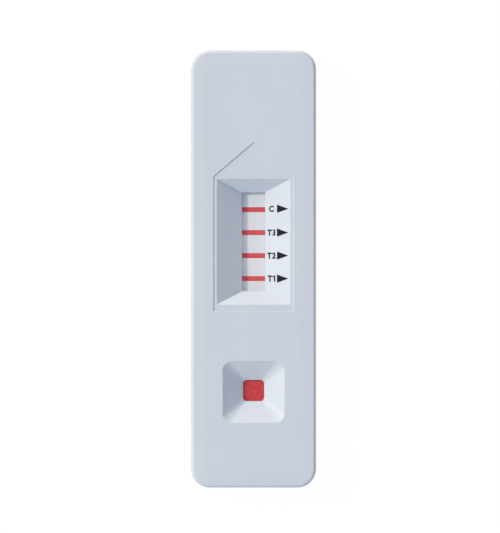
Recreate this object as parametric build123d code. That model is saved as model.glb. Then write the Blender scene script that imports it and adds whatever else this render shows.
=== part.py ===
from build123d import *

import os
from dataclasses import dataclass

# Lateral flow cassette: two moulded shells pressed together round a test strip.
# Units are millimetres and degrees. The origin is the middle of the underside, +Z is up, and +Y runs
# along the strip, from its foot under the sample well to its head in the wick. An inset along the
# strip is measured from the case's foot end.

# Case
case_length = 70.0
case_width = 20.0
case_corner = 3.0
parting_height = 2.0
wall_draft_angle = 3.0
skirt_wall = 1.2
floor_wall = 1.0
roof_wall = 1.35
crown_width = 2.0
crown_drop = 0.08
rim_round = 0.4
foot_round = 0.4
parting_break = 0.12

# Tongue on the tray's rim, in the inner half of the skirt, and the groove for it in the cover's rim
tongue_height = 0.5
tongue_clearance = 0.05

# Test strip
strip_width = 4.0
strip_foot_room = 7.0
strip_head_room = 3.0
card_thickness = 0.3
membrane_thickness = 0.2
membrane_foot_reach = 4.9
membrane_head_reach = 4.25
conjugate_thickness = 0.35
conjugate_length = 5.5
sample_pad_thickness = 0.6
absorbent_thickness = 0.9
pad_lap = 2.0
pad_ramp = 0.8

# Reagent lines
line_width = 0.8
line_thickness = 0.02
line_pitch = 3.68
first_line_inset = 2.05
test_line_count = 3

# Blood in the well
blood_thickness = 0.05
blood_clearance = 0.02

# Result window: a narrow opening over the membrane, with four slopes up to a wide mouth
window_inset = 39.35
window_length = 15.85
window_side_cover = 0.15
window_side_slope = 4.03
window_end_slope = 2.1
window_gap = 0.1
window_lip = 0.45
window_mouth_round = 0.15

# House-shaped recess round the window's mouth
recess_depth = 0.15
recess_draft_angle = 20.0
recess_side_margin = 0.57
recess_foot_margin = 1.08
recess_eaves_margin = 0.46
recess_gable = 5.52

# Sample well: a square hole over the sample pad, with four slopes up to a round-cornered mouth
well_inset = 15.35
well_side_cover = 0.3
well_hole_corner = 0.6
well_hole_shift = 0.2
well_slope = 3.25
well_mouth_corner = 1.5
well_lip = 0.25
well_mouth_round = 0.2

# Wall left under both sets of slopes, measured upright
slope_wall = 0.9

# Strip bed in the tray
strip_side_gap = 0.1
strip_end_gap = 0.2
rail_wall = 0.7
rail_under_cover = 0.05
rest_height = 0.3
rest_width = 0.8
rest_pitch = 4.0
well_rest_length = 5.0
tweezer_gap_length = 3.0
tweezer_gap_count = 4

# Press-fit pins on the cover, and their sockets in the tray
pin_side_inset = 3.0
pin_end_inset = 5.0
side_pin_count = 4
pin_sides = 6
pin_radius = 0.8
pin_clearance = 0.01
pin_shoulder = 0.45
pin_lead_in = 0.2
pin_end_gap = 0.15
socket_wall = 0.6
socket_height = 1.5
socket_stop_gap = 0.05
socket_web = 0.8

# Bars under the cover that press the strip's joints and its wick
bar_width = 0.8
bar_height = 0.6
bar_side_gap = 0.15
wick_bar_count = 3

# Heights that the sizes above lead to
strip_floor = floor_wall + rest_height
card_top = strip_floor + card_thickness
membrane_top = card_top + membrane_thickness
conjugate_top = card_top + conjugate_thickness
sample_pad_top = card_top + sample_pad_thickness
absorbent_top = card_top + absorbent_thickness
wick_lap_top = membrane_top + absorbent_thickness
roof_under = wick_lap_top + bar_height
case_height = roof_under + roof_wall
recess_floor = case_height - recess_depth
window_under = membrane_top + window_gap
window_throat = window_under + window_lip
well_under = sample_pad_top
well_throat = well_under + well_lip
rail_top = window_under - rail_under_cover
socket_top = floor_wall + socket_height

# Widths that the sizes above lead to
cavity_width = case_width - 2 * skirt_wall
cavity_length = case_length - 2 * skirt_wall
cavity_corner = case_corner - skirt_wall
tongue_wall = skirt_wall / 2 - tongue_clearance
window_width = strip_width - 2 * window_side_cover
window_mouth_width = window_width + 2 * window_side_slope
window_mouth_length = window_length + 2 * window_end_slope
well_hole = strip_width - 2 * well_side_cover
well_mouth = well_hole + 2 * well_slope

# Places along the strip that the sizes above lead to
case_foot_y = -case_length / 2
case_head_y = case_length / 2
strip_foot_y = case_foot_y + strip_foot_room
strip_head_y = case_head_y - strip_head_room
strip_length = strip_head_y - strip_foot_y
bed_y = (strip_foot_y + strip_head_y) / 2
window_y = case_foot_y + window_inset
window_foot_y = window_y - window_length / 2
window_head_y = window_y + window_length / 2
membrane_foot_y = window_foot_y - membrane_foot_reach
membrane_head_y = window_head_y + membrane_head_reach
conjugate_foot_y = membrane_foot_y - conjugate_length
first_line_y = window_foot_y + first_line_inset
well_y = case_foot_y + well_inset
well_hole_y = well_y + well_hole_shift

# Extra reach of a cutting or joining shape, so that no two faces fall on each other
overshoot = 0.1

# How far an edge may lie from a height and still count as being at it
height_tolerance = 0.001


@dataclass
class Funnel:
    """Four sloped walls, between a wide mouth above and a narrow throat below."""

    mouth_width: float
    mouth_length: float
    mouth_corner: float
    mouth_y: float
    mouth_z: float
    throat_width: float
    throat_length: float
    throat_corner: float
    throat_y: float
    throat_z: float

    def section(self, slope_z, drop=0.0):
        """The funnel's outline where its slope passes slope_z, laid out at that height less the drop."""
        share = (slope_z - self.throat_z) / (self.mouth_z - self.throat_z)

        def between(throat, mouth):
            return throat + share * (mouth - throat)

        width = between(self.throat_width, self.mouth_width)
        length = between(self.throat_length, self.mouth_length)
        corner = between(self.throat_corner, self.mouth_corner)
        place = Pos(0, between(self.throat_y, self.mouth_y), slope_z - drop)
        return place * plate_outline(width, length, corner)

    def hollow(self, under_z):
        """The space inside: the sloped part, and the straight throat down through under_z."""
        slopes = loft([self.section(self.throat_z), self.section(self.mouth_z + overshoot)], ruled=True)
        outline = self.section(self.throat_z)
        throat = extrude(outline, amount=under_z - overshoot - self.throat_z)
        return slopes + throat

    def hopper(self, under_z, roof_z):
        """The solid below the roof that carries the slopes and is flat underneath at under_z."""
        foot = self.section(under_z + slope_wall, drop=slope_wall)
        head = self.section(roof_z + overshoot + slope_wall, drop=slope_wall)
        return loft([foot, head], ruled=True)

    def mouth_edges(self, part):
        """The edges of the mouth, once the hollow is cut into a part."""
        half_width = self.mouth_width / 2 + overshoot
        half_length = self.mouth_length / 2 + overshoot
        return edges_at(part, self.mouth_z).filter_by(
            lambda edge: abs(edge.center().X) <= half_width
            and abs(edge.center().Y - self.mouth_y) <= half_length
        )


def plate_outline(width, length, corner):
    """A rectangle, with round corners where a radius is given."""
    if corner > 0:
        return RectangleRounded(width, length, corner)
    return Rectangle(width, length)


def slab(width, length, bottom, top, corner=0.0, x=0.0, y=0.0):
    """A plate between two heights."""
    return Pos(x, y, bottom) * extrude(plate_outline(width, length, corner), amount=top - bottom)


def edges_at(part, height):
    """The edges of a part that lie flat at a height."""
    return part.edges().filter_by_position(Axis.Z, height - height_tolerance, height + height_tolerance)


def along(first, pitch, count):
    """Evenly spaced places."""
    return [first + pitch * i for i in range(count)]


def window_funnel():
    return Funnel(
        mouth_width=window_mouth_width,
        mouth_length=window_mouth_length,
        mouth_corner=0.0,
        mouth_y=window_y,
        mouth_z=recess_floor,
        throat_width=window_width,
        throat_length=window_length,
        throat_corner=0.0,
        throat_y=window_y,
        throat_z=window_throat,
    )


def well_funnel():
    return Funnel(
        mouth_width=well_mouth,
        mouth_length=well_mouth,
        mouth_corner=well_mouth_corner,
        mouth_y=well_y,
        mouth_z=case_height,
        throat_width=well_hole,
        throat_length=well_hole,
        throat_corner=well_hole_corner,
        throat_y=well_hole_y,
        throat_z=well_throat,
    )


def case_block(start_z, height, upward):
    """A solid half of the case's outer form, growing from the parting plane with draft."""
    plane = Plane(origin=(0, 0, start_z), z_dir=(0, 0, 1 if upward else -1))
    outline = plane * RectangleRounded(case_width, case_length, case_corner)
    block = extrude(outline, amount=height, taper=wall_draft_angle)
    return chamfer(edges_at(block, start_z), parting_break)


def cover_outside():
    """The cover's outer form: draft, a shallow crown band along the rim, and a round outer edge."""
    block = case_block(parting_height, case_height - parting_height, upward=True)
    top = block.faces().sort_by(Axis.Z)[-1]
    crowned = chamfer(top.edges(), length=crown_width, length2=crown_drop, reference=top)
    rim = edges_at(crowned, case_height - crown_drop)
    return fillet(rim, rim_round)


def tongue_groove():
    """The cut in the cover's rim that takes the tongue, with clearance beside it and over it."""
    reach = tongue_wall + tongue_clearance
    return slab(
        cavity_width + 2 * reach,
        cavity_length + 2 * reach,
        parting_height - overshoot,
        parting_height + tongue_height + tongue_clearance,
        corner=cavity_corner + reach,
    )


def recess_cutter():
    """The house shape, cut down into the top with drafted sides."""
    half_width = window_mouth_width / 2 + recess_side_margin
    foot_y = window_y - window_mouth_length / 2 - recess_foot_margin
    eaves_y = window_y + window_mouth_length / 2 + recess_eaves_margin
    corners = [
        (-half_width, foot_y),
        (half_width, foot_y),
        (half_width, eaves_y),
        (0, eaves_y + recess_gable),
        (-half_width, eaves_y),
    ]
    plane = Plane(origin=(0, 0, case_height), z_dir=(0, 0, 1))
    outline = plane * make_face(Polyline(*corners, close=True))
    return extrude(outline, amount=-recess_depth, taper=recess_draft_angle)


def pin_places():
    """Where the press-fit pins stand: a row down each side, evenly spaced between the two ends."""
    row_x = case_width / 2 - pin_side_inset
    pitch = (case_length - 2 * pin_end_inset) / (side_pin_count - 1)
    rows = along(case_foot_y + pin_end_inset, pitch, side_pin_count)
    return [(side * row_x, y) for side in (-1, 1) for y in rows]


def pin(x, y):
    """A press-fit pin: a round boss that stops over the socket, and a six-sided shank that grips in it."""
    boss_foot = socket_top + socket_stop_gap
    boss_height = roof_under + overshoot - boss_foot
    boss = Pos(x, y, boss_foot) * extrude(Circle(pin_radius + pin_shoulder), amount=boss_height)
    shank_foot = floor_wall + pin_end_gap
    outline = RegularPolygon(pin_radius - pin_clearance, side_count=pin_sides)
    shank = Pos(x, y, shank_foot) * extrude(outline, amount=boss_foot + overshoot - shank_foot)
    return boss + chamfer(edges_at(shank, shank_foot), pin_lead_in)


def press_bar(y, foot_z):
    """A bar across the strip, from the roof down to what it presses."""
    return slab(strip_width - 2 * bar_side_gap, bar_width, foot_z, roof_under + overshoot, y=y)


def press_bars():
    """One bar on each lap joint of the strip, and a row of them evenly spaced along the flat of the wick."""
    laps = [
        (conjugate_foot_y + pad_lap / 2, conjugate_top + sample_pad_thickness),
        (membrane_foot_y + pad_lap / 2, membrane_top + conjugate_thickness),
        (membrane_head_y - pad_lap / 2, wick_lap_top),
    ]
    flat_foot_y = membrane_head_y + pad_ramp
    pitch = (strip_head_y - flat_foot_y) / (wick_bar_count + 1)
    wick = [(y, absorbent_top) for y in along(flat_foot_y + pitch, pitch, wick_bar_count)]
    return [press_bar(y, foot_z) for y, foot_z in laps + wick]


def upper_shell():
    """The cover: one moulding with the window, the well, the recess, the pins and the press bars."""
    shell = cover_outside()
    shell -= slab(cavity_width, cavity_length, parting_height - overshoot, roof_under, corner=cavity_corner)
    shell -= tongue_groove()
    shell -= recess_cutter()

    window = window_funnel()
    shell += window.hopper(window_under, roof_under)
    shell -= window.hollow(window_under)
    shell = fillet(window.mouth_edges(shell), window_mouth_round)

    well = well_funnel()
    shell += well.hopper(well_under, roof_under)
    shell -= well.hollow(well_under)
    shell = fillet(well.mouth_edges(shell), well_mouth_round)

    for bar in press_bars():
        shell += bar
    for x, y in pin_places():
        shell += pin(x, y)
    return shell


def socket(x, y):
    """A tube that takes a pin, tied to the side wall by a web."""
    root = floor_wall - overshoot
    tube = Pos(x, y, root) * extrude(Circle(pin_radius + socket_wall), amount=socket_top - root)
    web_end = cavity_width / 2 + overshoot
    web_width = web_end - abs(x)
    web_x = (abs(x) + web_end) / 2
    web = slab(web_width, socket_web, root, parting_height, x=web_x if x > 0 else -web_x, y=y)
    return tube + web


def socket_bore(x, y):
    """The bore for a pin, with a lead-in at its mouth."""
    bore = Pos(x, y, floor_wall) * extrude(Circle(pin_radius), amount=socket_height + overshoot)
    mouth = Pos(x, y, socket_top - pin_lead_in) * Cone(
        pin_radius, pin_radius + pin_lead_in, pin_lead_in, align=(Align.CENTER, Align.CENTER, Align.MIN)
    )
    return bore + mouth


def strip_rails(root):
    """A ring of rails and end stops that holds the strip in place, cut by gaps for tweezers."""
    bed_width = strip_width + 2 * strip_side_gap
    bed_length = strip_length + 2 * strip_end_gap
    outer_width = bed_width + 2 * rail_wall
    rails = slab(outer_width, bed_length + 2 * rail_wall, root, rail_top, y=bed_y)
    rails -= slab(bed_width, bed_length, root - overshoot, rail_top + overshoot, y=bed_y)
    gap_pitch = strip_length / (tweezer_gap_count + 1)
    for y in along(strip_foot_y + gap_pitch, gap_pitch, tweezer_gap_count):
        cut_width = outer_width + 2 * overshoot
        rails -= slab(cut_width, tweezer_gap_length, root - overshoot, rail_top + overshoot, y=y)
    return rails


def strip_rests(root):
    """Cross ribs that carry the strip, with a solid rest under the well."""
    rest_reach = strip_width + 2 * (strip_side_gap + overshoot)
    rest_count = int((strip_length - rest_width) // rest_pitch) + 1
    first_rest = bed_y - rest_pitch * (rest_count - 1) / 2
    rests = slab(rest_reach, well_rest_length, root, strip_floor, y=well_hole_y)
    for y in along(first_rest, rest_pitch, rest_count):
        rests += slab(rest_reach, rest_width, root, strip_floor, y=y)
    return rests


def lower_shell():
    """The tray: one moulding with the strip bed, the pin sockets and the tongue round its rim."""
    tray = case_block(parting_height, parting_height, upward=False)
    tray = fillet(edges_at(tray, 0), foot_round)
    tray += slab(
        cavity_width + 2 * tongue_wall,
        cavity_length + 2 * tongue_wall,
        floor_wall,
        parting_height + tongue_height,
        corner=cavity_corner + tongue_wall,
    )
    tongue_top = parting_height + tongue_height
    tray -= slab(cavity_width, cavity_length, floor_wall, tongue_top + overshoot, corner=cavity_corner)

    root = floor_wall - overshoot
    tray += strip_rails(root)
    tray += strip_rests(root)
    for x, y in pin_places():
        tray += socket(x, y)
    for x, y in pin_places():
        tray -= socket_bore(x, y)
    return tray


def backing_card():
    """The plastic card that carries the strip."""
    return slab(strip_width, strip_length, strip_floor, card_top, y=bed_y)


def membrane():
    """The white sheet that the reagent lines are laid on."""
    length = membrane_head_y - membrane_foot_y
    return slab(strip_width, length, card_top, membrane_top, y=membrane_foot_y + length / 2)


def reagent_line(number):
    """A band across the membrane; number 0 is the test line nearest the well."""
    y = first_line_y + line_pitch * number
    return slab(strip_width, line_width, membrane_top, membrane_top + line_thickness, y=y)


def lapped_pad(end_y, step_y, thickness, under):
    """A fibre pad that lies on the card from end_y to step_y, and ramps up there to lap over its neighbour."""
    way = 1 if step_y > end_y else -1
    ramp_y = step_y - way * pad_ramp
    lap_y = step_y + way * pad_lap
    lap_z = card_top + under
    underside = [(end_y, card_top), (ramp_y, card_top), (step_y, lap_z), (lap_y, lap_z)]
    upper_side = [(y, z + thickness) for y, z in reversed(underside)]
    profile = Plane.YZ * make_face(Polyline(*underside, *upper_side, close=True))
    return extrude(profile, amount=strip_width / 2, both=True)


def sample_pad():
    """The pad under the well, lapped over the conjugate pad."""
    return lapped_pad(strip_foot_y, conjugate_foot_y, sample_pad_thickness, conjugate_thickness)


def conjugate_pad():
    """The thin pad between the sample pad and the membrane, lapped over the membrane."""
    return lapped_pad(conjugate_foot_y, membrane_foot_y, conjugate_thickness, membrane_thickness)


def absorbent_pad():
    """The thick wick at the strip's head, lapped over the membrane."""
    return lapped_pad(strip_head_y, membrane_head_y, absorbent_thickness, membrane_thickness)


def blood_spot():
    """The sample, a wet film that fills the well's hole on top of the sample pad."""
    size = well_hole - 2 * blood_clearance
    corner = well_hole_corner - blood_clearance
    return slab(size, size, sample_pad_top, sample_pad_top + blood_thickness, corner=corner, y=well_hole_y)


parts = {
    "upper_shell": upper_shell(),
    "lower_shell": lower_shell(),
    "backing_card": backing_card(),
    "nitrocellulose_membrane": membrane(),
    "sample_pad": sample_pad(),
    "conjugate_pad": conjugate_pad(),
    "absorbent_pad": absorbent_pad(),
    "blood_spot": blood_spot(),
    "control_line": reagent_line(test_line_count),
}
for number in range(test_line_count):
    parts[f"test_line_{number + 1}"] = reagent_line(number)

os.makedirs("parts", exist_ok=True)
for name, part in parts.items():
    export_step(part, f"parts/{name}.step")
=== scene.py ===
# %% [markdown]
# # A lateral flow cassette, dressed in Blender
#
# The object is a small disposable test: two white plastic shells, pressed together round a thin test
# strip. A CAD model already gives every piece its true size and place. This lesson adds what CAD doesn't
# hold: the finish of moulded plastic, the grain of the membrane, the dye of the lines, the blood in the
# well and the ink on the case. We could model the case again by hand, but then its sizes would be guesses.
# So we start by loading the CAD pieces, and we keep the size of the whole thing.

# %% Load the CAD pieces
import math

import bmesh
import bpy
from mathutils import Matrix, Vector
from mathutils.bvhtree import BVHTree
from mathutils.noise import noise, turbulence


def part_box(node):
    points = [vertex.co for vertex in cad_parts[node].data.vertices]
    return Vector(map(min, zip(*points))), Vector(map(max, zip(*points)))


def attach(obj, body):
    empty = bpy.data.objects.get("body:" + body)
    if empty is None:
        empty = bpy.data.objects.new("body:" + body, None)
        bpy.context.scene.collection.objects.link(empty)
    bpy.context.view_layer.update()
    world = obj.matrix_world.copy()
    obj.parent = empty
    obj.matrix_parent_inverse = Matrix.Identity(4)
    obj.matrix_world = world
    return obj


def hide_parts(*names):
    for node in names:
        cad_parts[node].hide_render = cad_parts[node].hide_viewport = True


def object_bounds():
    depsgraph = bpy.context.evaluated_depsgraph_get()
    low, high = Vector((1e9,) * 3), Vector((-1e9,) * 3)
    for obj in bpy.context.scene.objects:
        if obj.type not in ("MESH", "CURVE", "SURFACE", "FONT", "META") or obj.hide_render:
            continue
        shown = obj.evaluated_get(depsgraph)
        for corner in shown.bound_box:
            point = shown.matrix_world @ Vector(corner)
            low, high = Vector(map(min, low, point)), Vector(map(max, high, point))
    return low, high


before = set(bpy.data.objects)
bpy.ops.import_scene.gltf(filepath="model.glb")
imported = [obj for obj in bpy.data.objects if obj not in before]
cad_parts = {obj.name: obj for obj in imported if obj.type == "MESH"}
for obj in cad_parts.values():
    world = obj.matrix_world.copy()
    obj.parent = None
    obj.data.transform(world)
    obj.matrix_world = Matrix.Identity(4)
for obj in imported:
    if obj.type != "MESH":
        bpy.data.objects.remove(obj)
cad_low, cad_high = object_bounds()
print("pieces:", ", ".join(sorted(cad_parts)))

# %% [markdown]
# ## Units
#
# Blender works in metres, and this object is thinner than a pencil. Writing 0.0037 again and again invites
# mistakes. The scene could be scaled up a thousand times, but then it would no longer match the CAD pieces.
# So every size below is written in millimetres and multiplied by one value, and what we print is divided by
# it again.

# %% One millimetre in scene units
MM = 0.001


def in_mm(*lengths):
    """Lengths as rounded millimetres, for printing."""
    return [round(length / MM, 2) for length in lengths]


print("size in mm:", in_mm(*(cad_high - cad_low)))

# %% [markdown]
# ## The camera
#
# The object is seen from straight above, and its long sides stay parallel, so the view has almost no
# perspective. An orthographic camera could do that. A very long lens, far away, gives nearly the same
# picture and keeps the trace of perspective that every photograph has, which is why it is used here. The
# case's middle lies a little beside the middle of the picture, so the camera is moved by as much. Blender
# takes the lens and the sensor in millimetres, so those two aren't multiplied.

# %% Camera above the case
PICTURE_WIDTH_PX = 500
PICTURE_HEIGHT_PX = 533
PX_PER_MM = 6.255
CASE_MIDDLE_PX = (253.57, 269.05)
CAMERA_DISTANCE = 1500 * MM
SENSOR = 36.0

view_height = PICTURE_HEIGHT_PX / PX_PER_MM * MM
look_x = (PICTURE_WIDTH_PX / 2 - CASE_MIDDLE_PX[0]) / PX_PER_MM * MM
look_y = (CASE_MIDDLE_PX[1] - PICTURE_HEIGHT_PX / 2) / PX_PER_MM * MM

camera_data = bpy.data.cameras.new("camera")
camera_data.sensor_width = SENSOR
camera_data.lens = SENSOR * CAMERA_DISTANCE / view_height
camera = bpy.data.objects.new("camera", camera_data)
camera.location = (look_x, look_y, cad_high.z + CAMERA_DISTANCE)
bpy.context.scene.collection.objects.link(camera)
bpy.context.scene.camera = camera
bpy.context.scene.view_settings.view_transform = "Standard"
print("lens in mm:", round(camera_data.lens))
print("camera beside the case's middle, in mm:", in_mm(look_x, look_y))

# %% [markdown]
# ## The light
#
# White plastic on a white ground shows its shape only through shade. A light from straight above would wipe
# the slopes out. So the main light is low and comes from the left: slopes that face it turn bright, and
# slopes that turn away fall back to the light of the room, which is bluer. Two very soft lights, from the
# foot and from the head, keep the short slopes open. All are sun lamps, because their light is equally
# strong along the whole case. Each is set by how much light it gives a level surface, so that the parts can
# simply be added up: a little under 1, a colour renders about as it is written.

# %% Three lamps
MAIN_SOFTNESS = math.radians(10)
FILL_SOFTNESS = math.radians(60)

# For each lamp: where its light comes from, its light on a level surface, its colour and its softness
LAMPS = {
    "main_light": ((-1.62, 0.6, 1.0), 0.338, (1.0, 0.95, 0.81), MAIN_SOFTNESS),
    "foot_fill": ((-0.2, -1.8, 1.0), 0.182, (0.94, 1.0, 0.97), FILL_SOFTNESS),
    "head_fill": ((0.0, 2.0, 1.0), 0.24, (1.0, 0.97, 0.89), FILL_SOFTNESS),
}


def sun(name, comes_from, level_light, colour, softness):
    """A far lamp that shines from a direction and gives a level surface a stated amount of light."""
    direction = Vector(comes_from).normalized()
    lamp = bpy.data.lights.new(name, "SUN")
    # A sun overhead has to be pi strong for a white surface to come out white
    lamp.energy = level_light * math.pi / direction.z
    lamp.color = colour
    lamp.angle = softness
    holder = bpy.data.objects.new(name, lamp)
    holder.rotation_mode = "QUATERNION"
    holder.rotation_quaternion = direction.to_track_quat("Z", "Y")
    bpy.context.scene.collection.objects.link(holder)
    print(name, "stands", round(math.degrees(math.asin(direction.z))), "degrees high")


lamp_light = 0
for name, (comes_from, level_light, colour, softness) in LAMPS.items():
    sun(name, comes_from, level_light, colour, softness)
    lamp_light += level_light
print("light of the lamps on a level surface:", round(lamp_light, 2))

# %% [markdown]
# ## The room
#
# The ground behind a catalogue picture is pure white. Turning the lamps up until it clips would bleach the
# case too, so the white is made another way. The world asks what kind of ray is looking: the camera, mirror
# reflections and rays that pass through a clear piece see plain white, and every other ray gets the calm
# light of the room. The question is put together from nodes, so we first write three helpers for nodes.


# %% Helpers for nodes, and an empty world
def new_node(tree, kind, inputs=None, **settings):
    """Adds a node, with its settings and its unlinked inputs."""
    made = tree.nodes.new(kind)
    for key, value in settings.items():
        setattr(made, key, value)
    for key, value in (inputs or {}).items():
        made.inputs[key].default_value = value
    return made


def calculate(tree, operation, *values):
    """A math node, whose values are numbers or other nodes' outputs."""
    made = new_node(tree, "ShaderNodeMath", operation=operation)
    for socket, value in zip(made.inputs, values):
        if isinstance(value, (int, float)):
            socket.default_value = value
        else:
            tree.links.new(value, socket)
    return made.outputs[0]


def mix_shaders(tree, share, first, second):
    """Mixes two shader nodes: a share of 0 gives the first, and 1 the second."""
    made = new_node(tree, "ShaderNodeMixShader")
    for socket, value in zip(made.inputs, (share, first.outputs[0], second.outputs[0])):
        tree.links.new(value, socket)
    return made.outputs[0]


world = bpy.data.worlds.new("room")
world.use_nodes = True
world.node_tree.nodes.clear()
bpy.context.scene.world = world
print("nodes in the new world:", len(world.node_tree.nodes))

# %% Room light
ROOM_LEVEL = 0.12
ROOM_COLOUR = (0.77, 1.0, 1.58)
PLAIN_WHITE = (1, 1, 1, 1)


def sees_plain_white(tree):
    """A value of 1 for the rays that should see the ground as plain white."""
    ray = new_node(tree, "ShaderNodeLightPath").outputs
    indirect = calculate(tree, "MAXIMUM", ray["Is Glossy Ray"], ray["Is Transmission Ray"])
    return calculate(tree, "MAXIMUM", ray["Is Camera Ray"], indirect)


tree = world.node_tree
room = new_node(tree, "ShaderNodeBackground", {"Color": (*ROOM_COLOUR, 1), "Strength": ROOM_LEVEL})
white = new_node(tree, "ShaderNodeBackground", {"Color": PLAIN_WHITE, "Strength": 1.0})
world_output = new_node(tree, "ShaderNodeOutputWorld")
tree.links.new(mix_shaders(tree, sees_plain_white(tree), room, white), world_output.inputs["Surface"])
print("light of lamps and room on a level surface:", round(lamp_light + ROOM_LEVEL, 2))

# %% [markdown]
# ## The white ground
#
# The case has to lie on something, or it would float in white. A plain white floor would come out a pale
# grey, because a level surface gets a little less than full light. A shadow catcher would keep only the
# shadow, but it leaves a see-through picture that still has to be laid over white. So the floor glows white
# to the same rays as the room does, and mixes in a little of its real, lit surface: enough for a faint
# shadow. The glow is a little over 1, to make up for that darker share. To all other light the floor is an
# ordinary dull surface.

# %% Floor
FLOOR_SIZE = 1200 * MM
FLOOR_DROP = 0.02 * MM
FLOOR_GREY = 0.6
FLOOR_GLOW = 1.045
FLOOR_SHADOW_SHARE = 0.07


def white_floor_material():
    """White to the camera with a faint shadow, and an ordinary pale grey surface to all other light."""
    made = bpy.data.materials.new("white_ground")
    made.use_nodes = True
    tree = made.node_tree
    tree.nodes.clear()
    surface = new_node(tree, "ShaderNodeBsdfDiffuse", {"Color": (FLOOR_GREY, FLOOR_GREY, FLOOR_GREY, 1)})
    glow = new_node(tree, "ShaderNodeEmission", {"Color": PLAIN_WHITE, "Strength": FLOOR_GLOW})
    glow_share = calculate(tree, "MULTIPLY", sees_plain_white(tree), 1 - FLOOR_SHADOW_SHARE)
    output = new_node(tree, "ShaderNodeOutputMaterial")
    tree.links.new(mix_shaders(tree, glow_share, surface, glow), output.inputs["Surface"])
    return made


half = FLOOR_SIZE / 2
floor_mesh = bpy.data.meshes.new("floor")
floor_corners = [(-half, -half), (half, -half), (half, half), (-half, half)]
floor_mesh.from_pydata([(x, y, cad_low.z - FLOOR_DROP) for x, y in floor_corners], [], [(0, 1, 2, 3)])
floor_mesh.materials.append(white_floor_material())
floor = bpy.data.objects.new("floor", floor_mesh)
bpy.context.scene.collection.objects.link(floor)
print("gap between the floor and the case, in mm:", in_mm(FLOOR_DROP))

# %% [markdown]
# ## The steps that every finish is made of
#
# No real surface is quite even, and each finish below is mixed from the same few steps: colours picked on a
# screen, cloud noise of a known size, a change of its range, and fine relief. They could be wired by hand
# in the node editor, or painted as pictures. Written as functions they can be read, they take their sizes
# in millimetres, and they don't break into pixels when the camera comes close.

# %% Colours, and how two are mixed
# The mix node repeats its sockets' names for numbers, vectors and colours. These are the ones for colours.
MIX_SHARE = 0
MIX_FIRST = 6
MIX_SECOND = 7
MIX_RESULT = 2


def from_srgb(red, green, blue):
    """A colour as picked on a screen, from 0 to 255, turned into the linear light that shaders use."""

    def linear(part):
        part /= 255
        return part / 12.92 if part <= 0.04045 else ((part + 0.055) / 1.055) ** 2.4

    return tuple(linear(part) for part in (red, green, blue))


def blend_colours(tree, share, first, second):
    """Mixes two colours, each given as three numbers or as another node's output."""
    made = new_node(tree, "ShaderNodeMix", data_type="RGBA")
    tree.links.new(share, made.inputs[MIX_SHARE])
    for socket, colour in ((MIX_FIRST, first), (MIX_SECOND, second)):
        if isinstance(colour, tuple):
            made.inputs[socket].default_value = (*colour, 1)
        else:
            tree.links.new(colour, made.inputs[socket])
    return made.outputs[MIX_RESULT]


print("a screen grey of 128 in linear light:", round(from_srgb(128, 128, 128)[0], 3))


# %% Noise and relief, measured in millimetres
def place_in_space(tree):
    """Coordinates that stay fixed to the piece, in metres."""
    return new_node(tree, "ShaderNodeTexCoord").outputs["Object"]


def noise_scale(size_mm):
    """The scale that gives a noise spots of about this size."""
    return 1 / (size_mm * MM)


def grain(tree, where, size_mm, detail, roughness=0.5):
    """Cloud noise whose spots are about size_mm across."""
    inputs = {"Scale": noise_scale(size_mm), "Detail": detail, "Roughness": roughness}
    made = new_node(tree, "ShaderNodeTexNoise", inputs)
    tree.links.new(where, made.inputs["Vector"])
    return made.outputs["Fac"]


def spread(tree, value, source=(0.0, 1.0), target=(0.0, 1.0)):
    """Moves a value from the source range to the target range, and stops at the ends."""
    inputs = {"From Min": source[0], "From Max": source[1], "To Min": target[0], "To Max": target[1]}
    made = new_node(tree, "ShaderNodeMapRange", inputs)
    tree.links.new(value, made.inputs["Value"])
    return made.outputs["Result"]


def relief(tree, height, depth_mm, strength, below=None):
    """Tiny bumps whose depth is given in millimetres, on top of the relief below if there is any."""
    made = new_node(tree, "ShaderNodeBump", {"Strength": strength, "Distance": depth_mm * MM})
    tree.links.new(height, made.inputs["Height"])
    if below is not None:
        tree.links.new(below, made.inputs["Normal"])
    return made.outputs["Normal"]


print("noise scale for spots of 0.1 mm:", round(noise_scale(0.1)))

# %% [markdown]
# ## Moulded plastic
#
# The two shells are moulded from one white plastic with a trace of blue in it. Its surface is satin, not
# mirror-smooth, because the steel of the mould was lightly blasted. A plain grey-blue colour with a medium
# roughness would look like paint. What makes it plastic is very fine relief in the surface, the slow waves
# that are left when the plastic shrinks, and a colour and a roughness that drift from place to place.

# %% Satin plastic
SHELL_WHITE = from_srgb(213, 219, 230)
SHELL_WHITE_DEEPER = from_srgb(210, 216, 228)
SHELL_ROUGHNESS = (0.50, 0.62)


def new_finish(name, **sockets):
    """A material with one Principled shader, whose even properties are set on its own sockets."""
    made = bpy.data.materials.new(name)
    made.use_nodes = True
    tree = made.node_tree
    shader = tree.nodes["Principled BSDF"]
    for key, value in sockets.items():
        shader.inputs[key].default_value = value
    print("finish", name, "with", sockets)
    return made, tree, shader


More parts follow.
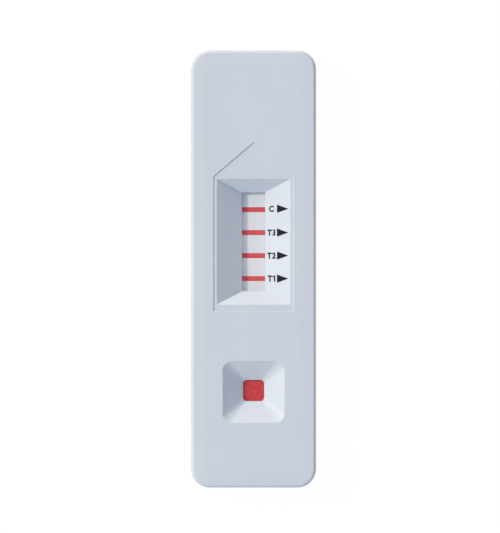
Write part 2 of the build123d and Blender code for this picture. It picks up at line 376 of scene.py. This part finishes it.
def satin_plastic():
    """Blue-white moulded plastic with fine blasted relief."""
    made, tree, shader = new_finish("satin_plastic", IOR=1.59)
    where = place_in_space(tree)
    tone = spread(tree, grain(tree, where, size_mm=9.0, detail=3.0), source=(0.35, 0.65))
    colour = blend_colours(tree, tone, SHELL_WHITE, SHELL_WHITE_DEEPER)
    tree.links.new(colour, shader.inputs["Base Color"])
    sheen = grain(tree, where, size_mm=2.5, detail=4.0)
    roughness = spread(tree, sheen, source=(0.3, 0.7), target=SHELL_ROUGHNESS)
    tree.links.new(roughness, shader.inputs["Roughness"])
    blasting = grain(tree, where, size_mm=0.12, detail=3.0)
    shrinkage = grain(tree, where, size_mm=3.0, detail=1.0)
    blasted = relief(tree, blasting, depth_mm=0.004, strength=0.6)
    waved = relief(tree, shrinkage, depth_mm=0.01, strength=0.5, below=blasted)
    tree.links.new(waved, shader.inputs["Normal"])
    return made


shell_plastic = satin_plastic()


# %% Dress both shells
def dress(node, finish):
    """Gives a CAD piece its finish and leaves its shape as it is."""
    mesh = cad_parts[node].data
    mesh.materials.clear()
    mesh.materials.append(finish)
    print(node, "keeps its", len(mesh.polygons), "faces and gets", finish.name)


for shell in ("upper_shell", "lower_shell"):
    dress(shell, shell_plastic)

# %% [markdown]
# ## The backing card
#
# Under the sheets and pads lies a strip of white plastic card, which keeps them flat and in line. It is
# smooth, stiff and hidden, so the CAD piece keeps its shape. Only its finish is new: a white that is cooler
# than that of the pads, with the very faint streaks that rolling leaves along its length. The streaks could
# be drawn one by one. It is simpler to take the same cloud noise and stretch it along the strip.

# %% Rolled card
CARD_WHITE = from_srgb(233, 235, 236)
CARD_STREAK = from_srgb(226, 229, 231)
CARD_ROUGHNESS = (0.28, 0.4)
ALONG_THE_STRIP = (1.0, 0.04, 1.0)


def stretched(tree, where, scale, turn=0.0, shift=0.0):
    """Coordinates in which a noise comes out long along the axis with the small scale.

    The turn and the shift come after the stretching, so they only pick another part of the noise.
    """
    inputs = {"Location": (shift, 0, 0), "Rotation": (0, 0, turn), "Scale": scale}
    made = new_node(tree, "ShaderNodeMapping", inputs)
    tree.links.new(where, made.inputs["Vector"])
    return made.outputs[0]


def rolled_card():
    """White plastic card with streaks along the strip."""
    made, tree, shader = new_finish("rolled_card", IOR=1.53)
    where = stretched(tree, place_in_space(tree), ALONG_THE_STRIP)
    streaks = grain(tree, where, size_mm=0.3, detail=3.0)
    colour = blend_colours(tree, streaks, CARD_WHITE, CARD_STREAK)
    tree.links.new(colour, shader.inputs["Base Color"])
    tree.links.new(spread(tree, streaks, target=CARD_ROUGHNESS), shader.inputs["Roughness"])
    tree.links.new(relief(tree, streaks, depth_mm=0.003, strength=0.5), shader.inputs["Normal"])
    return made


dress("backing_card", rolled_card())

# %% [markdown]
# ## Where the new pieces go
#
# The membrane, the lines, the pads and the blood get new shapes, and each has to fill the place of the CAD
# piece that it stands for. We could type the places in again, but they would be wrong after the next change
# to the CAD model. So we ask for the box of every CAD piece.

# %% Boxes of the CAD pieces
box = {name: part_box(name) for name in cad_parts}
membrane_low, membrane_high = box["nitrocellulose_membrane"]
print("membrane along the strip, in mm:", in_mm(membrane_low.y, membrane_high.y))

# %% [markdown]
# ## Making a sheet with a real surface
#
# The membrane and the dyed lines are sheets so thin that a flat box would do for their size, but not for
# their look: a cut sheet has softly worn edges and a surface that is never quite level. A box with many
# faces and a displacement modifier could give that too, but it moves points out of the box as easily as
# into it. So a helper lays a fine grid over a rectangle, lets a function say how high each point is, and
# closes the sheet below. The long edges only move inwards, so the sheet can't grow into its neighbours.


# %% Grid of points
def cells_in(low, high, step):
    """How many cells of about one step fit across and along a rectangle."""
    across = max(2, round((high.x - low.x) / step))
    along = max(2, round((high.y - low.y) / step))
    return across, along


def grid_of_points(mesh, low, high, step, height_at, wander):
    """Rows of points over a rectangle, whose long edges are pulled in by wander."""
    across, along = cells_in(low, high, step)
    rows = []
    for j in range(along + 1):
        y = low.y + (high.y - low.y) * j / along
        row = []
        for i in range(across + 1):
            inset = wander(y) if i in (0, across) else 0.0
            x = low.x + (high.x - low.x) * i / across + (inset if i == 0 else -inset)
            row.append(mesh.verts.new((x, y, height_at(x, y))))
        rows.append(row)
    return rows


print("cells of 1 mm across and along the membrane:", cells_in(membrane_low, membrane_high, 1 * MM))


# %% Rim and wall
def outer_points(rows):
    """The rim of a grid, once round it against the clock."""
    right = [row[-1] for row in rows[1:-1]]
    left = [row[0] for row in rows[1:-1]]
    return rows[0] + right + rows[-1][::-1] + left[::-1]


def join_rims(mesh, top_rim, bottom_rim):
    """Builds the wall between two rims, whose points run against the clock as seen from above."""
    count = len(top_rim)
    for k in range(count):
        after = (k + 1) % count
        mesh.faces.new((top_rim[k], bottom_rim[k], bottom_rim[after], top_rim[after]))


print("rim of a grid of nine points:", outer_points([[1, 2, 3], [4, 5, 6], [7, 8, 9]]))

# %% Thin sheet
LEVEL_ENOUGH = 0.5


def new_piece(name, mesh):
    """Turns a finished drawing of points and faces into an object of the scene."""
    data = bpy.data.meshes.new(name)
    mesh.to_mesh(data)
    mesh.free()
    piece = bpy.data.objects.new(name, data)
    bpy.context.scene.collection.objects.link(piece)
    print("new piece", name, "with", len(data.polygons), "faces")
    return piece


def smooth_level_faces(piece):
    """Shades the level faces as one soft surface, and leaves the upright walls flat."""
    for face in piece.data.polygons:
        face.use_smooth = abs(face.normal.z) > LEVEL_ENOUGH


def thin_sheet(name, low, high, step, top_height, wander):
    """A closed sheet in a box: top_height gives its surface, and wander pulls its long edges in."""
    mesh = bmesh.new()
    top = grid_of_points(mesh, low, high, step, top_height, wander)
    bottom = grid_of_points(mesh, low, high, step, lambda x, y: low.z, wander)
    for j in range(len(top) - 1):
        for i in range(len(top[0]) - 1):
            mesh.faces.new((top[j][i], top[j][i + 1], top[j + 1][i + 1], top[j + 1][i]))
            mesh.faces.new((bottom[j][i], bottom[j + 1][i], bottom[j + 1][i + 1], bottom[j][i + 1]))
    join_rims(mesh, outer_points(top), outer_points(bottom))
    sheet = new_piece(name, mesh)
    smooth_level_faces(sheet)
    return sheet


print("faces count as level up to a slope of", round(math.degrees(math.acos(LEVEL_ENOUGH))), "degrees")

# %% [markdown]
# ## The membrane
#
# Nitrocellulose is the white, chalky sheet on which the test happens. Under a lens it looks like very fine
# snow: dull, porous and slightly uneven. A picture of paper could be laid over it, but its colour hardly
# changes, so the grain has to come from relief and from painted shade: tiny darker specks in the colour
# stand for the shade in its pores. Its surface waves by a few thousandths of a millimetre, which is real
# geometry here, and the pores are bumps in the finish.

# %% Surface of the membrane
MEMBRANE_WAVE = 0.006 * MM
MEMBRANE_WAVE_LENGTH = 1.6 * MM
CUT_EDGE = 0.15 * MM
CUT_EDGE_DROP = 0.03 * MM
CUT_EDGE_WANDER = 0.012 * MM
CUT_EDGE_WANDER_LENGTH = 0.7 * MM
CUT_EDGE_NOISE_PLACE = 3.0


def smooth_step(value):
    """A soft ramp from 0 to 1."""
    value = min(1.0, max(0.0, value))
    return value * value * (3 - 2 * value)


def membrane_height(x, y):
    """The membrane's top: slow waves, and edges that the knife pressed down."""
    wave = 0.5 + 0.5 * noise(Vector((x, y, 0)) / MEMBRANE_WAVE_LENGTH)
    edge = min(x - membrane_low.x, membrane_high.x - x)
    pressed = CUT_EDGE_DROP * (1 - smooth_step(edge / CUT_EDGE))
    return membrane_high.z - MEMBRANE_WAVE * wave - pressed


def cut_edge_wander(y):
    """How far the knife wandered inwards at a place along the strip."""
    place = Vector((0, y / CUT_EDGE_WANDER_LENGTH, CUT_EDGE_NOISE_PLACE))
    return CUT_EDGE_WANDER * (1 + noise(place))


middle_top = membrane_height(0, 0)
edge_top = membrane_height(membrane_low.x, 0)
print("height of the membrane's top in the middle and at an edge, in mm:", in_mm(middle_top, edge_top))

# %% Membrane sheet
MEMBRANE_STEP = 0.1 * MM
MEMBRANE_WHITE = from_srgb(233, 230, 238)
MEMBRANE_WHITE_COOLER = from_srgb(226, 229, 236)
# A darker colour for tiny specks: painted shade in the pores, not a colour of the membrane.
PAINTED_PORE_SHADE = from_srgb(205, 203, 214)


def porous_white():
    """Dull white sheet with pores, and tiny darker specks of painted shade in them."""
    made, tree, shader = new_finish("porous_white", Roughness=0.95, IOR=1.35)
    where = place_in_space(tree)
    fine = grain(tree, where, size_mm=0.09, detail=4.0, roughness=0.6)
    broad = grain(tree, where, size_mm=1.1, detail=3.0)
    cooler = spread(tree, broad, source=(0.3, 0.7))
    # Painted shade: tiny specks of the colour turn darker, as if shade lay in the pores.
    pores = spread(tree, fine, source=(0.55, 0.8), target=(0, 0.35))
    tint = blend_colours(tree, cooler, MEMBRANE_WHITE, MEMBRANE_WHITE_COOLER)
    tree.links.new(blend_colours(tree, pores, tint, PAINTED_PORE_SHADE), shader.inputs["Base Color"])
    tree.links.new(relief(tree, fine, depth_mm=0.02, strength=0.8), shader.inputs["Normal"])
    return made


def ride_on_case(piece, replaced):
    """Ties a new piece to the case and hides the CAD piece that it stands for."""
    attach(piece, "root")
    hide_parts(replaced)


membrane = thin_sheet(
    "membrane_sheet", membrane_low, membrane_high, MEMBRANE_STEP, membrane_height, cut_edge_wander
)
membrane.data.materials.append(porous_white())
ride_on_case(membrane, "nitrocellulose_membrane")

# %% [markdown]
# ## The red lines
#
# The lines aren't painted on the sheet. A dye caught in its pores turns them red, so a line is as dull and
# grainy as the membrane, it is a little uneven, and it thins out over a few hundredths of a millimetre at
# its edges. The red could be a mask in the membrane's own finish, but the CAD model has a piece for each
# line. So each line is a skin on the membrane. Its colour is mixed from the distance to its own middle,
# with some noise, so that the edge breaks up along the pores and doesn't end like tape.

# %% Dye in the pores
# Generated coordinates run from 0 to 1 over a piece, so a line's middle lies at half its width
HALF_WIDTH = 0.5
DYE_FADES_OVER = 0.03
DYE_GATHERS_OVER = 4 * DYE_FADES_OVER
DYE_RED = from_srgb(224, 91, 94)
DYE_RED_DEEPER = from_srgb(215, 83, 87)
DYE_GATHERED = from_srgb(190, 58, 66)
DYE_SPECK = from_srgb(178, 56, 66)
DYE_FADED = from_srgb(226, 214, 223)


def distance_from_middle(tree):
    """The distance to the line's own middle, as a share of its width."""
    across = new_node(tree, "ShaderNodeSeparateXYZ")
    tree.links.new(new_node(tree, "ShaderNodeTexCoord").outputs["Generated"], across.inputs[0])
    return calculate(tree, "ABSOLUTE", calculate(tree, "SUBTRACT", across.outputs["Y"], HALF_WIDTH))


def dye_in_pores():
    """Red dye that gathers near both edges of the line and then fades into the membrane's white."""
    made, tree, shader = new_finish("dye_in_pores", Roughness=0.9, IOR=1.35)
    where = place_in_space(tree)
    fine = grain(tree, where, size_mm=0.09, detail=4.0, roughness=0.6)
    broad = grain(tree, where, size_mm=0.8, detail=2.0)
    jitter = spread(tree, fine, source=(0.3, 0.7), target=(-DYE_FADES_OVER, DYE_FADES_OVER))
    ragged = calculate(tree, "ADD", distance_from_middle(tree), jitter)
    near_edge = (HALF_WIDTH - DYE_GATHERS_OVER, HALF_WIDTH - DYE_FADES_OVER)
    at_edge = (HALF_WIDTH - DYE_FADES_OVER, HALF_WIDTH + DYE_FADES_OVER)
    deeper = spread(tree, broad, source=(0.3, 0.7))
    gathered = spread(tree, ragged, source=near_edge, target=(0, 0.45))
    specks = spread(tree, fine, source=(0.5, 0.8), target=(0, 0.4))
    faded = spread(tree, ragged, source=at_edge)
    colour = blend_colours(tree, deeper, DYE_RED, DYE_RED_DEEPER)
    colour = blend_colours(tree, gathered, colour, DYE_GATHERED)
    colour = blend_colours(tree, specks, colour, DYE_SPECK)
    colour = blend_colours(tree, faded, colour, DYE_FADED)
    tree.links.new(colour, shader.inputs["Base Color"])
    tree.links.new(relief(tree, fine, depth_mm=0.02, strength=0.8), shader.inputs["Normal"])
    return made


line_dye = dye_in_pores()

# %% Dyed lines
LINE_STEP = 0.05 * MM
LINE_LIFT = 0.004 * MM
line_marks = {"test_line_1": "T1", "test_line_2": "T2", "test_line_3": "T3", "control_line": "C"}


def line_height(x, y):
    """A line's skin lies just over the membrane, wave for wave."""
    return membrane_height(x, y) + LINE_LIFT


def no_wander(y):
    """Edges that stay straight."""
    return 0.0


for node in line_marks:
    low, high = box[node]
    skin_low = Vector((low.x + CUT_EDGE, low.y, low.z - MEMBRANE_WAVE))
    skin_high = Vector((high.x - CUT_EDGE, high.y, high.z))
    skin = thin_sheet(node + "_dye", skin_low, skin_high, LINE_STEP, line_height, no_wander)
    skin.data.materials.append(line_dye)
    ride_on_case(skin, node)

# %% [markdown]
# ## Fibre pads
#
# Three pads feed and empty the membrane: the one under the well is thick and thirsty, the next is a thin
# glass-fibre sheet with dried dye in it, and the wick at the far end is the thickest. All are felts: fibres
# lying every way, with rounded, fuzzy edges. Hair particles could make every fibre, but most of the pads
# are hidden, and hair would cost far more than it shows. So each starts as a copy of the plain CAD solid.
# It is rebuilt from small cubes, which rounds its edges and gives it points enough to move. Then every
# point is pushed inwards between the fibres of three layers, each a noise that is long in a direction of
# its own. The finish adds finer streaks, which all run across the strip. Its colour holds painted shade:
# darker where the streaks lie low and paler on top of them.

# %% Fibres of a felt
FIBRE_LENGTH = 1.2 * MM
FIBRE_WIDTH = 0.16 * MM
# In radians
FIBRE_TURNS = (0.3, 1.5, 2.6)


def fibres_at(place, turn):
    """Height of a layer of fibres that lie in one direction, from 0 to 1."""
    along = place.x * math.cos(turn) + place.y * math.sin(turn)
    across = place.y * math.cos(turn) - place.x * math.sin(turn)
    through = place.z / FIBRE_WIDTH + turn
    return 0.5 + 0.5 * noise(Vector((along / FIBRE_LENGTH, across / FIBRE_WIDTH, through)))


print("fibres are", round(FIBRE_LENGTH / FIBRE_WIDTH, 1), "times as long as they are wide")

# %% Finish of a felt
ACROSS_THE_STRIP = (0.1, 1.0, 1.0)
# In degrees. They turn the noise itself, so that no two layers are alike.
STREAK_TURNS = (17, 86, 149)


def streaks(tree, where, turn, shift):
    """One layer of fine streaks, which run across the strip."""
    lie = stretched(tree, where, ACROSS_THE_STRIP, math.radians(turn), shift)
    return grain(tree, lie, size_mm=0.06, detail=2.0)


def felt(name, pale, deep):
    """Matted fibres: three layers of fine streaks, dull, with soft relief and painted shade between them.
    """
    made, tree, shader = new_finish(name, Roughness=0.97, IOR=1.4)
    where = place_in_space(tree)
    first, second, third = [streaks(tree, where, turn, k) for k, turn in enumerate(STREAK_TURNS)]
    highest = calculate(tree, "MAXIMUM", calculate(tree, "MAXIMUM", first, second), third)
    # Painted shade: the colour turns to the deep one where the streaks lie low, and to the pale one on top.
    colour = blend_colours(tree, spread(tree, highest, source=(0.5, 0.75)), deep, pale)
    tree.links.new(colour, shader.inputs["Base Color"])
    tree.links.new(relief(tree, highest, depth_mm=0.03, strength=0.9), shader.inputs["Normal"])
    return made


# Each felt gets its own colour and a darker one for painted shade between its fibres; the conjugate pad's
# pink is its real dye.
felts = {
    "sample_pad": felt("sample_felt", from_srgb(238, 233, 229), from_srgb(214, 203, 199)),
    "conjugate_pad": felt("conjugate_felt", from_srgb(204, 160, 162), from_srgb(176, 122, 128)),
    "absorbent_pad": felt("wick_felt", from_srgb(238, 237, 232), from_srgb(218, 216, 209)),
}

# %% Felted pads
FELT_VOXEL = 0.12 * MM
FELT_DEPTH = 0.05 * MM


def rebuild_from_cubes(pad):
    """Replaces a pad's mesh by a fine one with rounded edges."""
    remesh = pad.modifiers.new("rebuild", "REMESH")
    remesh.mode = "VOXEL"
    remesh.voxel_size = FELT_VOXEL
    evaluated = pad.evaluated_get(bpy.context.evaluated_depsgraph_get())
    rebuilt = bpy.data.meshes.new_from_object(evaluated)
    rebuilt.materials.clear()
    pad.modifiers.clear()
    pad.data = rebuilt


def press_between_fibres(mesh, low, high):
    """Pushes the points in where no fibre lies on top, and keeps them all inside the CAD box."""
    normals = [vertex.normal.copy() for vertex in mesh.vertices]
    for vertex, normal in zip(mesh.vertices, normals):
        height = max(fibres_at(vertex.co, turn) for turn in FIBRE_TURNS)
        moved = vertex.co - normal * FELT_DEPTH * (1 - height)
        for axis in range(3):
            moved[axis] = min(high[axis], max(low[axis], moved[axis]))
        vertex.co = moved
    for face in mesh.polygons:
        face.use_smooth = True


for node, finish in felts.items():
    pad = bpy.data.objects.new(node + "_felt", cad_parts[node].data.copy())
    bpy.context.scene.collection.objects.link(pad)
    rebuild_from_cubes(pad)
    press_between_fibres(pad.data, *box[node])
    pad.data.materials.append(finish)
    ride_on_case(pad, node)
    print("new piece", pad.name, "with", len(pad.data.polygons), "faces")

# %% [markdown]
# ## The blood in the well
#
# A drop of blood has soaked into the pad and stands as a thin film in the hole. It is red, deeper in some
# places than in others, and it still has a wet skin, which gives it a soft shine. A flat plate with bumps
# in its finish would do from above, but from the side its edge would be as sharp as a coin's. So the film
# is a disc of rings: each ring follows the hole's rounded square, the surface ripples by a hundredth of a
# millimetre, and near the edge it drops a little, as a film does when the pad drinks it.

# %% Outline of the hole
BLOOD_CORNER = 0.58 * MM

blood_low, blood_high = box["blood_spot"]
blood_middle = (blood_low + blood_high) / 2
blood_half_side = (blood_high.x - blood_low.x) / 2


def rounded_square(half_side, corner, share):
    """A point on the outline of a square with round corners, from 0 to 1 round it."""
    angle = 2 * math.pi * share
    direction = Vector((math.cos(angle), math.sin(angle)))
    straight = half_side - corner
    reach = half_side / max(abs(direction.x), abs(direction.y))
    point = direction * reach
    if abs(point.x) > straight and abs(point.y) > straight:
        middle = Vector((math.copysign(straight, point.x), math.copysign(straight, point.y)))
        along = direction.dot(middle)
        reach = along + math.sqrt(along * along - middle.length_squared + corner * corner)
        point = direction * reach
    return point


corner_reach = rounded_square(blood_half_side, BLOOD_CORNER, 1 / 8).length
print("from the film's middle to its side and to a corner, in mm:", in_mm(blood_half_side, corner_reach))

# %% Surface of the blood
BLOOD_RIPPLE = 0.010 * MM
BLOOD_RIPPLE_SIZE = 0.5 * MM
BLOOD_RIPPLE_LAYERS = 3
BLOOD_RIPPLE_SHARP = False
BLOOD_NOISE_PLACE = 7 * MM
BLOOD_EDGE_DROP = 0.018 * MM
BLOOD_EDGE_START = 0.75


def blood_height(place, share):
    """The film's top at a place, whose ring is a share of the way out to the edge."""
    noise_place = Vector((place.x, place.y, BLOOD_NOISE_PLACE)) / BLOOD_RIPPLE_SIZE
    wave = turbulence(noise_place, BLOOD_RIPPLE_LAYERS, BLOOD_RIPPLE_SHARP)
    ripple = BLOOD_RIPPLE * (0.5 - 0.5 * wave)
    drop = BLOOD_EDGE_DROP * smooth_step((share - BLOOD_EDGE_START) / (1 - BLOOD_EDGE_START))
    return blood_high.z - max(0.0, ripple) - drop


side_place = blood_middle + Vector((blood_half_side, 0, 0))
film_tops = (blood_height(blood_middle, 0), blood_height(side_place, 1))
print("height of the film's top in the middle and at the side, in mm:", in_mm(*film_tops))

# %% Rings of points
BLOOD_RINGS = 26
BLOOD_EDGE_POINTS = 96


def rings_of_points(mesh, height_at):
    """Rings from the middle of the film to its edge."""
    rings = []
    for number in range(1, BLOOD_RINGS + 1):
        share = number / BLOOD_RINGS
        ring = []
        for k in range(BLOOD_EDGE_POINTS):
            flat = rounded_square(blood_half_side, BLOOD_CORNER, k / BLOOD_EDGE_POINTS) * share
            place = Vector((blood_middle.x + flat.x, blood_middle.y + flat.y, 0))
            place.z = height_at(place, share)
            ring.append(mesh.verts.new(place))
        rings.append(ring)
    return rings


def fill_rings(mesh, middle, rings, turn):
    """Fills a disc of rings: a turn of 1 makes its faces look up, and -1 down."""
    for k in range(BLOOD_EDGE_POINTS):
        after = (k + 1) % BLOOD_EDGE_POINTS
        mesh.faces.new((middle, rings[0][k], rings[0][after])[::turn])
        for inner, outer in zip(rings, rings[1:]):
            mesh.faces.new((inner[k], outer[k], outer[after], inner[after])[::turn])


print("from ring to ring, in mm:", in_mm(blood_half_side / BLOOD_RINGS))


# %% Film of blood
def blood_film():
    """The film as a closed piece: a top with ripples, a level underside and a wall."""
    mesh = bmesh.new()
    top = rings_of_points(mesh, blood_height)
    under = rings_of_points(mesh, lambda place, share: blood_low.z)
    top_middle = mesh.verts.new((blood_middle.x, blood_middle.y, blood_height(blood_middle, 0)))
    under_middle = mesh.verts.new((blood_middle.x, blood_middle.y, blood_low.z))
    fill_rings(mesh, top_middle, top, 1)
    fill_rings(mesh, under_middle, under, -1)
    join_rims(mesh, top[-1], under[-1])
    film = new_piece("blood_film", mesh)
    smooth_level_faces(film)
    return film


film = blood_film()

# %% Wet blood
BLOOD_RED = from_srgb(215, 73, 76)
BLOOD_RED_DEEPER = from_srgb(199, 63, 68)
BLOOD_SPECK = from_srgb(172, 48, 55)


def wet_blood():
    """Red, deeper where it pools, with fine dark specks and a wet skin."""
    made, tree, shader = new_finish("wet_blood", Roughness=0.34, IOR=1.36)
    where = place_in_space(tree)
    broad = grain(tree, where, size_mm=0.55, detail=4.0)
    fine = grain(tree, where, size_mm=0.1, detail=3.0)
    pools = spread(tree, broad, source=(0.35, 0.65))
    specks = spread(tree, fine, source=(0.5, 0.8), target=(0, 0.4))
    colour = blend_colours(tree, pools, BLOOD_RED, BLOOD_RED_DEEPER)
    colour = blend_colours(tree, specks, colour, BLOOD_SPECK)
    tree.links.new(colour, shader.inputs["Base Color"])
    tree.links.new(relief(tree, fine, depth_mm=0.008, strength=0.5), shader.inputs["Normal"])
    return made


film.data.materials.append(wet_blood())
ride_on_case(film, "blood_spot")

# %% [markdown]
# ## Ink on the slope
#
# Beside the window, a pointer and a small mark are pad-printed for each line, in dark ink. They lie on the
# window's right-hand slope. They could be a picture laid over the plastic, but its edges would blur close
# up. Drawn as flat shapes at one height they would float or sink. So each is first drawn flat, and then
# every point is dropped onto the CAD surface with a ray, and lifted by the thickness of the ink.

# %% Ink
INK_BLACK = from_srgb(16, 21, 30)
INK_BLACK_PALER = from_srgb(26, 32, 42)


def ink_finish():
    """Dark blue-black ink, satin, with paler spots."""
    made, tree, shader = new_finish("print_ink", Roughness=0.6, IOR=1.2)
    fine = grain(tree, place_in_space(tree), size_mm=0.07, detail=3.0)
    colour = blend_colours(tree, spread(tree, fine, source=(0.4, 0.7)), INK_BLACK, INK_BLACK_PALER)
    tree.links.new(colour, shader.inputs["Base Color"])
    tree.links.new(relief(tree, fine, depth_mm=0.003, strength=0.5), shader.inputs["Normal"])
    return made


print_ink = ink_finish()

# %% The cover's surface
RAY_START = 2 * MM
STRAIGHT_DOWN = Vector((0, 0, -1))

cover_surface = BVHTree.FromObject(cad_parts["upper_shell"], bpy.context.evaluated_depsgraph_get())


def on_cover(x, y):
    """The place and the outward direction of the cover's surface under a point."""
    start = Vector((x, y, cad_high.z + RAY_START))
    place, normal, _, _ = cover_surface.ray_cast(start, STRAIGHT_DOWN)
    return place, normal


BESIDE_THE_WINDOW_X = 4 * MM
slope_place, slope_normal = on_cover(BESIDE_THE_WINDOW_X, 0)
print("height of the cover beside the window, in mm:", in_mm(slope_place.z - cad_low.z))
print("its slope there, in degrees:", round(math.degrees(math.acos(slope_normal.z))))

# %% A skin of ink
INK_THICKNESS = 0.012 * MM
INK_CLEARANCE = 0.001 * MM
WELD_DISTANCE = 0.001 * MM


def lay_ink(name, flat_mesh):
    """Turns a flat drawing into a thin closed skin on the cover."""
    mesh = bmesh.new()
    mesh.from_mesh(flat_mesh)
    bmesh.ops.remove_doubles(mesh, verts=mesh.verts, dist=WELD_DISTANCE)
    bmesh.ops.triangulate(mesh, faces=mesh.faces)
    rim = [edge for edge in mesh.edges if edge.is_boundary]
    under = {}
    for vertex in list(mesh.verts):
        place, normal = on_cover(vertex.co.x, vertex.co.y)
        under[vertex] = mesh.verts.new(place + normal * INK_CLEARANCE)
        vertex.co = place + normal * INK_THICKNESS
    for face in list(mesh.faces):
        mesh.faces.new([under[vertex] for vertex in reversed(face.verts)])
    for edge in rim:
        first, second = edge.verts
        mesh.faces.new((first, second, under[second], under[first]))
    bmesh.ops.recalc_face_normals(mesh, faces=mesh.faces)
    printed = new_piece(name, mesh)
    printed.data.materials.append(print_ink)
    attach(printed, "root")


print("the ink stands", round(INK_THICKNESS / MM, 3), "mm over the cover")

# %% [markdown]
# ## Pointers
#
# Each line has a filled triangle beside it, level with the line, that points away from the window. Only the
# control line's print sits a little further up the strip than its line. A triangle could be drawn as a
# curve and filled, but three points and one face are all it needs.

# %% Pointers
POINTER_BASE_X = 3.75 * MM
POINTER_TIP_X = 5.56 * MM
POINTER_HEIGHT = 1.33 * MM
CONTROL_PRINT_SHIFT = 0.13 * MM

print_y = {node: (box[node][0].y + box[node][1].y) / 2 for node in line_marks}
print_y["control_line"] += CONTROL_PRINT_SHIFT


def pointer(name, y):
    """A filled triangle that points to the right."""
    flat = bpy.data.meshes.new(name)
    half_height = POINTER_HEIGHT / 2
    corners = [(POINTER_BASE_X, y - half_height), (POINTER_TIP_X, y), (POINTER_BASE_X, y + half_height)]
    flat.from_pydata([(x, y, 0) for x, y in corners], [], [(0, 1, 2)])
    lay_ink(name, flat)


for node, y in print_y.items():
    pointer("pointer_" + node, y)
print("pointers along the strip, in mm:", in_mm(*print_y.values()))

# %% [markdown]
# ## Marks
#
# Between each pointer and the window stands a short mark that names the line. The letters could be drawn
# point by point. Blender's own font is near enough to plain printed capitals once it is made bolder and a
# little narrower, with more room between its letters. Only its 1 is a plain bar, so that gets a small flag.

# %% Flag for the 1
MARK_HEIGHT = 1.0 * MM
STEM_WIDTH_LIMIT = 0.3 * MARK_HEIGHT
FLAG_REACH = 0.22 * MARK_HEIGHT
FLAG_DROP = 0.17 * MARK_HEIGHT
FLAG_THICKNESS = 0.17 * MARK_HEIGHT
FLAG_GAP = 0.004 * MM


def add_flag_to_one(flat):
    """Adds the small flag to a 1 that stands at the right-hand end of a mark."""
    right = max(vertex.co.x for vertex in flat.vertices)
    top = max(vertex.co.y for vertex in flat.vertices)
    stem_points = [vertex.co.x for vertex in flat.vertices if vertex.co.x > right - STEM_WIDTH_LIMIT]
    stem = min(stem_points) - FLAG_GAP
    tip = stem - FLAG_REACH
    tip_top = top - FLAG_DROP
    upper_side = [(stem, top), (tip, tip_top)]
    lower_side = [(x, y - FLAG_THICKNESS) for x, y in reversed(upper_side)]
    mesh = bmesh.new()
    mesh.from_mesh(flat)
    mesh.faces.new([mesh.verts.new((x, y, 0)) for x, y in upper_side + lower_side])
    mesh.to_mesh(flat)
    mesh.free()


print("flag's reach and thickness, in mm:", in_mm(FLAG_REACH, FLAG_THICKNESS))

# %% Flat letters
LETTER_SPACING = 1.2
LETTER_CURVE_STEPS = 6
# In the font's own units
LETTER_BOLDNESS = 0.042


def write_flat(name, text):
    """A flat mesh of bold capitals, in the font's own size."""
    curve = bpy.data.curves.new(name, "FONT")
    curve.body = text
    curve.offset = LETTER_BOLDNESS
    curve.space_character = LETTER_SPACING
    curve.resolution_u = LETTER_CURVE_STEPS
    curve.fill_mode = "FRONT"
    writer = bpy.data.objects.new(name + "_writer", curve)
    bpy.context.scene.collection.objects.link(writer)
    evaluated = writer.evaluated_get(bpy.context.evaluated_depsgraph_get())
    flat = bpy.data.meshes.new_from_object(evaluated)
    bpy.data.objects.remove(writer)
    return flat


print("marks to write:", ", ".join(line_marks.values()))

# %% Line marks
MARK_MIDDLE_X = 2.86 * MM
MARK_NARROWING = 0.86


def mark(name, text, y):
    """A short mark, set to its height and centred on its place."""
    flat = write_flat(name, text)
    xs = [vertex.co.x for vertex in flat.vertices]
    ys = [vertex.co.y for vertex in flat.vertices]
    scale = MARK_HEIGHT / (max(ys) - min(ys))
    middle_x = (max(xs) + min(xs)) / 2
    middle_y = (max(ys) + min(ys)) / 2
    for vertex in flat.vertices:
        vertex.co.x = MARK_MIDDLE_X + (vertex.co.x - middle_x) * scale * MARK_NARROWING
        vertex.co.y = y + (vertex.co.y - middle_y) * scale
    if text.endswith("1"):
        add_flag_to_one(flat)
    lay_ink(name, flat)


for node, text in line_marks.items():
    mark("mark_" + node, text, print_y[node])
